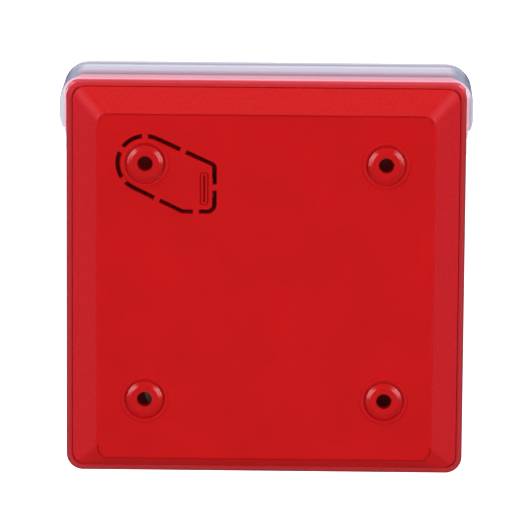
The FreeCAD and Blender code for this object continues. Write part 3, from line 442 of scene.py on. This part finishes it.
def flap_end_colour(tree, across, out, side, bent):
    """Painted light and shade on the flap's rear end face, inner to outer edge: top, a lit and a shaded ear,
    corners.
    """
    share = spread(tree, out, 0, 1, *FLAP_WALL_MM)
    top = stops(tree, share, (0.0, srgb(255, 176, 190)), (0.2, srgb(255, 180, 200)),
                (0.35, srgb(238, 184, 206)), (0.54, srgb(242, 196, 213)), (0.73, srgb(238, 192, 210)),
                (0.92, srgb(204, 154, 176)), (1.0, srgb(176, 124, 150)))
    # Painted light on one ear and painted shade on the other
    painted_lit_ear = stops(tree, share, (0.0, srgb(240, 184, 198)), (0.22, srgb(228, 204, 220)),
                       (0.42, srgb(220, 222, 238)), (0.68, srgb(224, 228, 242)), (0.8, srgb(202, 206, 220)),
                       (0.9, srgb(206, 210, 224)), (1.0, srgb(218, 222, 232)))
    painted_shaded_ear = stops(tree, share, (0.0, srgb(240, 170, 188)), (0.22, srgb(210, 172, 198)),
                       (0.42, srgb(184, 164, 194)), (0.62, srgb(184, 174, 202)), (0.8, srgb(212, 206, 230)),
                       (1.0, srgb(206, 202, 218)))
    corner = stops(tree, share, (0.0, srgb(255, 200, 218)), (0.5, srgb(252, 220, 242)),
                   (0.62, srgb(156, 158, 192)), (1.0, srgb(146, 152, 188)))
    ears = blended(tree, spread(tree, across, 1, 0, -MM, MM), painted_lit_ear, painted_shaded_ear)
    end = blended(tree, spread(tree, side, 0, 1, 0.45, 0.95), top, ears)
    return blended(tree, bent, end, corner)


def flap_wall_colour(tree, tint, depth, bent, inner_face):
    """Flap wall colours by depth: painted red of the case by the rim, a painted shade line at the hood's
    bend, painted corner shade.
    """
    along = spread(tree, depth, 0, 1, 0.0, 20.0)
    wall = stops(tree, along, (0.03, srgb(166, 92, 122)), (0.11, srgb(192, 130, 156)),
                 (0.18, srgb(204, 158, 184)), (0.25, srgb(214, 190, 214)), (0.33, tint), (0.6, tint),
                 (0.665, srgb(156, 148, 182)), (0.74, srgb(114, 106, 146)), (0.8, srgb(190, 186, 212)),
                 (0.88, srgb(216, 214, 234)), (1.0, srgb(232, 234, 242)))
    wall = blended(tree, bent, wall, srgb(124, 130, 178))
    # Painted pink light on the flap's inner face near the rim
    return blended(tree, inner_face, wall, srgb(236, 160, 180))


def flap_moulding(name, finish):
    """The flap's clear plastic: see-through walls, and a rear end face with painted light and the painted red
    of the case.
    """
    material, tree, shader = new_material(name)
    place = object_place(tree)
    axes = add_node(tree, "ShaderNodeSeparateXYZ", {"Vector": place}).outputs
    depth = depth_from_rim(tree, place)
    out, side = out_from_case(tree, place)
    bent = calc(tree, "MULTIPLY", spread(tree, side, 0, 1, 0.02, 0.3), spread(tree, side, 1, 0, 0.75, 0.98))
    past_inner, _ = out_from_square(tree, place, FLAP_INNER_HALF_MM, FLAP_INNER_CORNER_MM)
    inner_face = calc(tree, "MULTIPLY", spread(tree, past_inner, 1, 0, 0.03, 0.1),
                      spread(tree, depth, INNER_FACE_BODY, 0, 4, 8))
    is_end = spread(tree, depth, 1, 0, 0.1, 0.14)
    from_hinge = away_from_hinge(tree, axes["Z"], depth)
    pin = calc(tree, "MULTIPLY", spread(tree, from_hinge, 1, 0, PIN_RADIUS_MM + 0.03, PIN_RADIUS_MM + 0.048),
               spread(tree, out, 1, 0, PIN_ROOT_MM, PIN_ROOT_MM + 0.05))
    wall = flap_wall_colour(tree, tuple(finish.flap_colour), depth, bent, inner_face)
    colour = blended(tree, is_end, wall, flap_end_colour(tree, axes["X"], out, side, bent))
    tree.links.new(blended(tree, pin, colour, srgb(200, 60, 72)), shader.inputs["Base Color"])
    upright = spread(tree, side, 0, 1, 0.9, 1.0)
    hood = spread(tree, depth, REAR_HOOD_BODY, FRONT_HOOD_BODY, *HOOD_BEND_MM)
    walls = calc(tree, "MAXIMUM", blended_value(tree, upright, hood, EAR_BODY), inner_face)
    ends = calc(tree, "MAXIMUM", calc(tree, "MULTIPLY", is_end, END_BODY), pin)
    tree.links.new(calc(tree, "MAXIMUM", walls, ends), shader.inputs["Alpha"])
    shader.inputs["IOR"].default_value = CLEAR_IOR
    tree.links.new(spread(tree, depth, 0.03, 0.4, 18.0, 24.0), shader.inputs["Specular IOR Level"])
    shader.inputs["Specular Tint"].default_value = (*srgb(228, 224, 246), 1)
    shader.inputs["Roughness"].default_value = 0.16
    # Painted pink light given off by the end face and by the inner face near the rim
    end_glow = calc(tree, "MULTIPLY", is_end, spread(tree, out, END_GLOW, 0.0, 0.32, 0.56))
    end_glow = calc(tree, "MULTIPLY", end_glow, spread(tree, side, 1, 0.3, 0.8, 1.0))
    glow = calc(tree, "MAXIMUM", end_glow, calc(tree, "MULTIPLY", inner_face, INNER_FACE_GLOW))
    tree.links.new(glow, shader.inputs["Emission Strength"])
    shader.inputs["Emission Color"].default_value = (*srgb(255, 160, 176), 1)
    bump(tree, shader, noise(tree, place, 12 * MM, 1.0), 0.03, 0.1 * MM)
    return material


def metal(name, colour, rough, line):
    """Plated or drawn metal with fine lines along one way."""
    material, tree, shader = new_material(name)
    place = object_place(tree)
    lines = add_node(tree, "ShaderNodeMapping", {"Vector": place, "Scale": (1, line, 1)}).outputs["Vector"]
    streak = noise(tree, lines, 0.5 * MM, 2.0)
    tree.links.new(mottled(tree, streak, colour, 0.85, 1.1), shader.inputs["Base Color"])
    shader.inputs["Metallic"].default_value = 1.0
    tree.links.new(spread(tree, streak, rough - 0.06, rough + 0.06), shader.inputs["Roughness"])
    bump(tree, shader, streak, 0.1, 0.02 * MM)
    return material


def board_material(name):
    """Green solder mask with copper tracks showing through as paler lines."""
    material, tree, shader = new_material(name)
    place = object_place(tree)
    turned = add_node(tree, "ShaderNodeMapping", {"Vector": place, "Rotation": (math.pi / 2, 0, 0)})
    brick = add_node(tree, "ShaderNodeTexBrick", {
        "Vector": turned.outputs["Vector"],
        "Color1": (0.010, 0.085, 0.030, 1), "Color2": (0.008, 0.070, 0.026, 1),
        "Mortar": (0.020, 0.150, 0.055, 1), "Scale": 1.0, "Mortar Size": 0.35 * MM,
        "Brick Width": 7.3 * MM, "Row Height": 2.1 * MM})
    tree.links.new(brick.outputs["Color"], shader.inputs["Base Color"])
    shader.inputs["Roughness"].default_value = 0.3
    bump(tree, shader, brick.outputs["Fac"], 0.2, 0.05 * MM)
    return material


def dress(material, *names):
    """Puts a material on CAD nodes."""
    for name in names:
        slots = NODES[name].data.materials
        if len(slots) == 0:
            slots.append(material)
        for index in range(len(slots)):
            slots[index] = material


class CALLPOINT_OT_panel(bpy.types.Operator):
    """Finish the mounting panel"""
    bl_idname = "callpoint.panel"
    bl_label = "Finish mounting panel"

    def execute(self, context):
        dress(panel_moulding("panel_red", context.scene.callpoint_finish), "mounting_panel")
        return {"FINISHED"}


class CALLPOINT_OT_case(bpy.types.Operator):
    """Finish the front and rear case"""
    bl_idname = "callpoint.case"
    bl_label = "Finish case"

    def execute(self, context):
        finish = context.scene.callpoint_finish
        dress(case_moulding("case_red", finish), "front_case", "rear_case")
        return {"FINISHED"}


class CALLPOINT_OT_flap(bpy.types.Operator):
    """Finish the clear flap and the light pipe"""
    bl_idname = "callpoint.flap"
    bl_label = "Finish clear flap"

    def execute(self, context):
        finish = context.scene.callpoint_finish
        dress(flap_moulding("clear_flap", finish), "protective_flap")
        dress(clear_moulding("pipe_clear", srgb(235, 240, 245), 0.5), "light_pipe")
        return {"FINISHED"}


def flat_piece(name, outlines, depth_from, depth_to):
    """Thin solid pieces with given outlines in X and Z, between two places in Y."""
    mesh = bpy.data.meshes.new(name)
    build = bmesh.new()
    for outline in outlines:
        rings = [[build.verts.new((x, y, z)) for x, z in outline] for y in (depth_from, depth_to)]
        build.faces.new(rings[0])
        build.faces.new(list(reversed(rings[1])))
        for index in range(len(outline)):
            after = (index + 1) % len(outline)
            build.faces.new((rings[0][after], rings[0][index], rings[1][index], rings[1][after]))
    bmesh.ops.recalc_face_normals(build, faces=build.faces)
    build.to_mesh(mesh)
    build.free()
    piece = bpy.data.objects.new(name, mesh)
    bpy.context.scene.collection.objects.link(piece)
    return piece


def circle_outline(radius, steps=64):
    turns = [2 * math.pi * step / steps for step in range(steps)]
    return [(radius * math.cos(turn), radius * math.sin(turn)) for turn in turns]


class CALLPOINT_OT_press(bpy.types.Operator):
    """Finish the press plate and its guide, and lay the arrows and dot on the plate"""
    bl_idname = "callpoint.press"
    bl_label = "Finish press plate"

    def execute(self, context):
        finish = context.scene.callpoint_finish
        marks = context.scene.callpoint_marks
        dress(moulding("plate_white", tuple(finish.press_colour), 0.3 * MM, 0.12, 0.32, 0.02), "press_plate")
        dress(moulding("guide_yellow", tuple(finish.guide_colour), 0.4 * MM, 0.2, 0.4, 0.03), "press_guide")
        face_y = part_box("press_plate")[0][1]
        half_width = marks.arrow_width / 2
        outlines = [circle_outline(marks.dot_radius)]
        for way in (1, -1):
            tip = way * marks.arrow_reach
            back = tip + way * marks.arrow_length
            outlines.append([(0, tip), (half_width, back), (-half_width, back)])
        piece = flat_piece("press_marks", outlines, face_y - marks.thickness, face_y + marks.thickness)
        piece.data.materials.append(moulding("mark_black", srgb(22, 22, 24), 0.3 * MM, 0.1, 0.35, 0.1))
        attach(piece, "press")
        return {"FINISHED"}


def working_spring(name):
    """Stands for a spring of the case with a copy of its coils fixed to the case, and hides the spring
    itself.
    """
    coils = bpy.data.objects.new(name + "_coils", NODES[name].data.copy())
    coils.matrix_world = NODES[name].matrix_world
    bpy.context.scene.collection.objects.link(coils)
    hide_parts(name)
    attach(coils, "case")
    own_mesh(coils)


class CALLPOINT_OT_inside(bpy.types.Operator):
    """Finish the board, cells, switches, springs, screws and buttons"""
    bl_idname = "callpoint.inside"
    bl_label = "Finish inner pieces"

    def execute(self, context):
        dress(metal("screw_steel", (0.62, 0.62, 0.64), 0.3, 1.0),
              "case_screws", "guide_screws", "board_screws")
        dress(metal("spring_steel", (0.5, 0.5, 0.52), 0.28, 6.0), *SPRINGS)
        for name, joint_name in SPRINGS.items():
            working_spring(name)
        dress(metal("contact_nickel", (0.7, 0.68, 0.62), 0.25, 8.0), "battery_contacts")
        dress(metal("shield_tin", (0.66, 0.66, 0.66), 0.35, 4.0), "radio_shield")
        dress(metal("aerial_brass", (0.72, 0.55, 0.24), 0.3, 5.0), "aerial_strip")
        dress(board_material("board_green"), "circuit_board")
        dress(moulding("cell_wrap", srgb(52, 72, 118), 1.5 * MM, 0.05, 0.22, 0.04),
              "battery_left", "battery_right")
        dress(moulding("switch_black", srgb(30, 30, 32), 0.4 * MM, 0.2, 0.45, 0.1),
              "alarm_switch", "tamper_switch", "power_switch")
        dress(moulding("button_black", srgb(38, 38, 40), 0.4 * MM, 0.15, 0.4, 0.1), "tamper_button")
        dress(moulding("button_grey", srgb(226, 226, 226), 0.4 * MM, 0.1, 0.4, 0.03), "power_button")
        dress(moulding("latch_grey", srgb(120, 122, 126), 0.4 * MM, 0.15, 0.45, 0.05), "reset_latch")
        dress(moulding("lamp_white", srgb(235, 235, 225), 0.3 * MM, 0.05, 0.3, 0.03), "status_lamp")
        return {"FINISHED"}


def seen_ray(tree):
    """1 for rays that see the surroundings directly or through clear plastic, 0 for the rest."""
    path = add_node(tree, "ShaderNodeLightPath")
    return calc(tree, "MAXIMUM", path.outputs["Is Camera Ray"], path.outputs["Is Transmission Ray"])


def floor_material():
    """Pale floor that shows white and still takes a soft shadow."""
    material, tree, shader = new_material("floor_pale")
    path = add_node(tree, "ShaderNodeLightPath")
    pale = spread(tree, path.outputs["Is Glossy Ray"], 0.8, 0.03, 0, 1)
    tree.links.new(pale, shader.inputs["Base Color"])
    shader.inputs["Roughness"].default_value = 0.9
    shader.inputs["Specular IOR Level"].default_value = 0.0
    glow = add_node(tree, "ShaderNodeEmission", {"Color": (1, 1, 1, 1), "Strength": seen_ray(tree)})
    both = add_node(tree, "ShaderNodeAddShader", {0: shader.outputs["BSDF"], 1: glow.outputs["Emission"]})
    tree.links.new(both.outputs["Shader"], tree.nodes["Material Output"].inputs["Surface"])
    return material


def set_world(studio):
    """White where it is seen; for gloss it is white beyond the face and dim on the wall side."""
    world = bpy.data.worlds.new("surround")
    world.use_nodes = True
    tree = world.node_tree
    background = tree.nodes["Background"]
    background.inputs["Color"].default_value = (1, 1, 1, 1)
    place = add_node(tree, "ShaderNodeTexCoord").outputs["Generated"]
    towards_wall = add_node(tree, "ShaderNodeSeparateXYZ", {"Vector": place}).outputs["Y"]
    gloss = spread(tree, towards_wall, 1.0, studio.dim_side, -0.3, 0.5)
    is_gloss = add_node(tree, "ShaderNodeLightPath").outputs["Is Glossy Ray"]
    light = blended_value(tree, is_gloss, studio.world_light, gloss)
    tree.links.new(blended_value(tree, seen_ray(tree), light, 1.0), background.inputs["Strength"])
    bpy.context.scene.world = world


def area_light(name, place, target, size, power):
    """Soft rectangular light at a place, turned to a target."""
    lamp = bpy.data.lights.new(name, "AREA")
    lamp.shape = "RECTANGLE"
    lamp.size, lamp.size_y = size
    lamp.energy = power
    holder = bpy.data.objects.new(name, lamp)
    holder.location = place
    holder.rotation_euler = (target - place).to_track_quat("-Z", "Y").to_euler()
    bpy.context.scene.collection.objects.link(holder)


def add_camera(studio, rim_middle):
    """Camera behind and above, aimed a little over the middle of the case's rim."""
    turn = studio.azimuth
    tilt = studio.elevation
    towards = Vector((math.sin(turn) * math.cos(tilt), math.cos(turn) * math.cos(tilt), math.sin(tilt)))
    place = rim_middle + towards * studio.distance
    level_right = Vector((0, 0, 1)).cross(towards).normalized()
    level_up = towards.cross(level_right)
    right = level_right * math.cos(studio.roll) + level_up * math.sin(studio.roll)
    up = level_up * math.cos(studio.roll) - level_right * math.sin(studio.roll)
    back = (place - (rim_middle + up * studio.rise + right * studio.aside)).normalized()
    right = up.cross(back).normalized()
    up = back.cross(right)
    camera = bpy.data.cameras.new("camera")
    camera.lens = studio.lens
    camera.clip_start = 0.05
    camera.clip_end = 20.0
    holder = bpy.data.objects.new("camera", camera)
    holder.matrix_world = Matrix.Translation(place) @ Matrix((right, up, back)).transposed().to_4x4()
    bpy.context.scene.collection.objects.link(holder)
    bpy.context.scene.camera = holder


class CALLPOINT_OT_stage(bpy.types.Operator):
    """Lay the floor, and set the surround, the lights and the camera"""
    bl_idname = "callpoint.stage"
    bl_label = "Set the studio"

    def execute(self, context):
        studio = context.scene.callpoint_studio
        low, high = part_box("front_case")
        middle = Vector((0, high[1], (low[2] + high[2]) / 2))
        floor_z = low[2] - studio.floor_drop
        mesh = bpy.data.meshes.new("floor")
        corners = [(-FLOOR_REACH, -FLOOR_REACH), (FLOOR_REACH, -FLOOR_REACH), (FLOOR_REACH, FLOOR_REACH),
                   (-FLOOR_REACH, FLOOR_REACH)]
        mesh.from_pydata([(x, y, floor_z) for x, y in corners], [], [(0, 1, 2, 3)])
        mesh.materials.append(floor_material())
        floor = bpy.data.objects.new("floor", mesh)
        context.scene.collection.objects.link(floor)
        set_world(studio)
        for name, (power, place, size) in LIGHTS.items():
            area_light(name, Vector(place), middle, size, getattr(studio, power))
        add_camera(studio, middle)
        context.scene.view_settings.view_transform = "Standard"
        return {"FINISHED"}


class CALLPOINT_PT_panel(bpy.types.Panel):
    """Sizes, colours and steps of the call point"""
    bl_idname = "CALLPOINT_PT_panel"
    bl_label = "Call Point"
    bl_space_type = "VIEW_3D"
    bl_region_type = "UI"
    bl_category = "Call Point"

    def draw(self, context):
        for group in (context.scene.callpoint_finish, context.scene.callpoint_marks,
                      context.scene.callpoint_studio):
            box = self.layout.box()
            for name in group.__annotations__:
                box.prop(group, name)
        for operator in STEPS:
            self.layout.operator(operator.bl_idname)


GROUPS = {"callpoint_finish": CallPointFinish, "callpoint_marks": CallPointMarks,
          "callpoint_studio": CallPointStudio}
STEPS = (CALLPOINT_OT_panel, CALLPOINT_OT_case, CALLPOINT_OT_flap, CALLPOINT_OT_press, CALLPOINT_OT_inside,
         CALLPOINT_OT_stage)
CLASSES = (*GROUPS.values(), *STEPS, CALLPOINT_PT_panel)


def register():
    for item in CLASSES:
        bpy.utils.register_class(item)
    for name, group in GROUPS.items():
        setattr(bpy.types.Scene, name, bpy.props.PointerProperty(type=group))


def unregister():
    for name in GROUPS:
        delattr(bpy.types.Scene, name)
    for item in reversed(CLASSES):
        bpy.utils.unregister_class(item)


def main():
    register()
    bpy.ops.callpoint.panel()
    bpy.ops.callpoint.case()
    bpy.ops.callpoint.flap()
    bpy.ops.callpoint.press()
    bpy.ops.callpoint.inside()
    bpy.ops.callpoint.stage()


if __name__ == "__main__":
    main()
